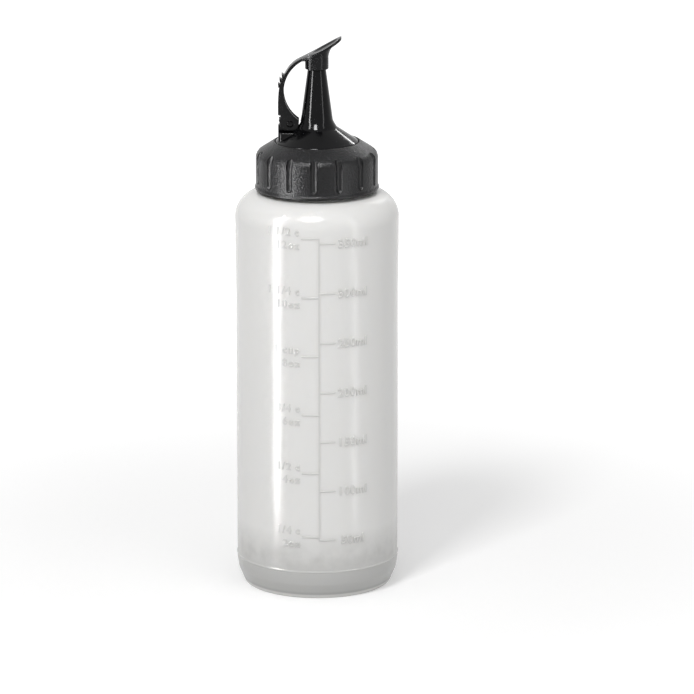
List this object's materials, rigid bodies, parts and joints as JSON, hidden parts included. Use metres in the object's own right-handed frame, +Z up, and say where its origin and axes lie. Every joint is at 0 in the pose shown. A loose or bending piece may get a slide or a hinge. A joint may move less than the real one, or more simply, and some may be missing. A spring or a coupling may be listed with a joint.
{
  "type": "squeeze bottle",
  "caption": "Frosted plastic squeeze bottle with raised volume marks, a ribbed black screw collar, a cone nozzle and a flip-up lever closure",
  "frame": {"origin": "centre of the base, on the surface that the bottle stands on", "axes": "+Z up along the bottle's axis, -X to the lever's hinge, +X to the tip of its thumb plate"},
  "size_m": [0.0606, 0.0607, 0.2072],
  "materials": {
    "milky_plastic": "translucent, satin outside with a soft shine",
    "textured_black": "fine spark-eroded grain",
    "gloss_black": "polished",
    "satin_black": "satin",
    "silicone": "matte"
  },
  "bodies": {
    "bottle": {"bottle": "milky_plastic"},
    "nozzle": {"nozzle": "gloss_black", "sealing_ring": "silicone"},
    "collar": {"collar": "textured_black"},
    "lever": {"lever": "satin_black"}
  },
  "joints": [
    {"name": "cap_lift", "type": "slide", "parent": "bottle", "child": "nozzle", "axis": [0, 0, 1], "range_m": [0, 0.00525]},
    {"name": "collar_turn", "type": "hinge", "parent": "nozzle", "child": "collar", "pos_m": [0, 0, 0.158], "axis": [0, 0, 1], "range_deg": [0, 450]},
    {"name": "lever_swing", "type": "hinge", "parent": "nozzle", "child": "lever", "pos_m": [-0.0099, 0, 0.1749], "axis": [0, -1, 0], "range_deg": [0, 95]}
  ],
  "couplings": [
    {"joint": "cap_lift", "follows": "collar_turn", "m_per_rad": 0.00066845}
  ]
}
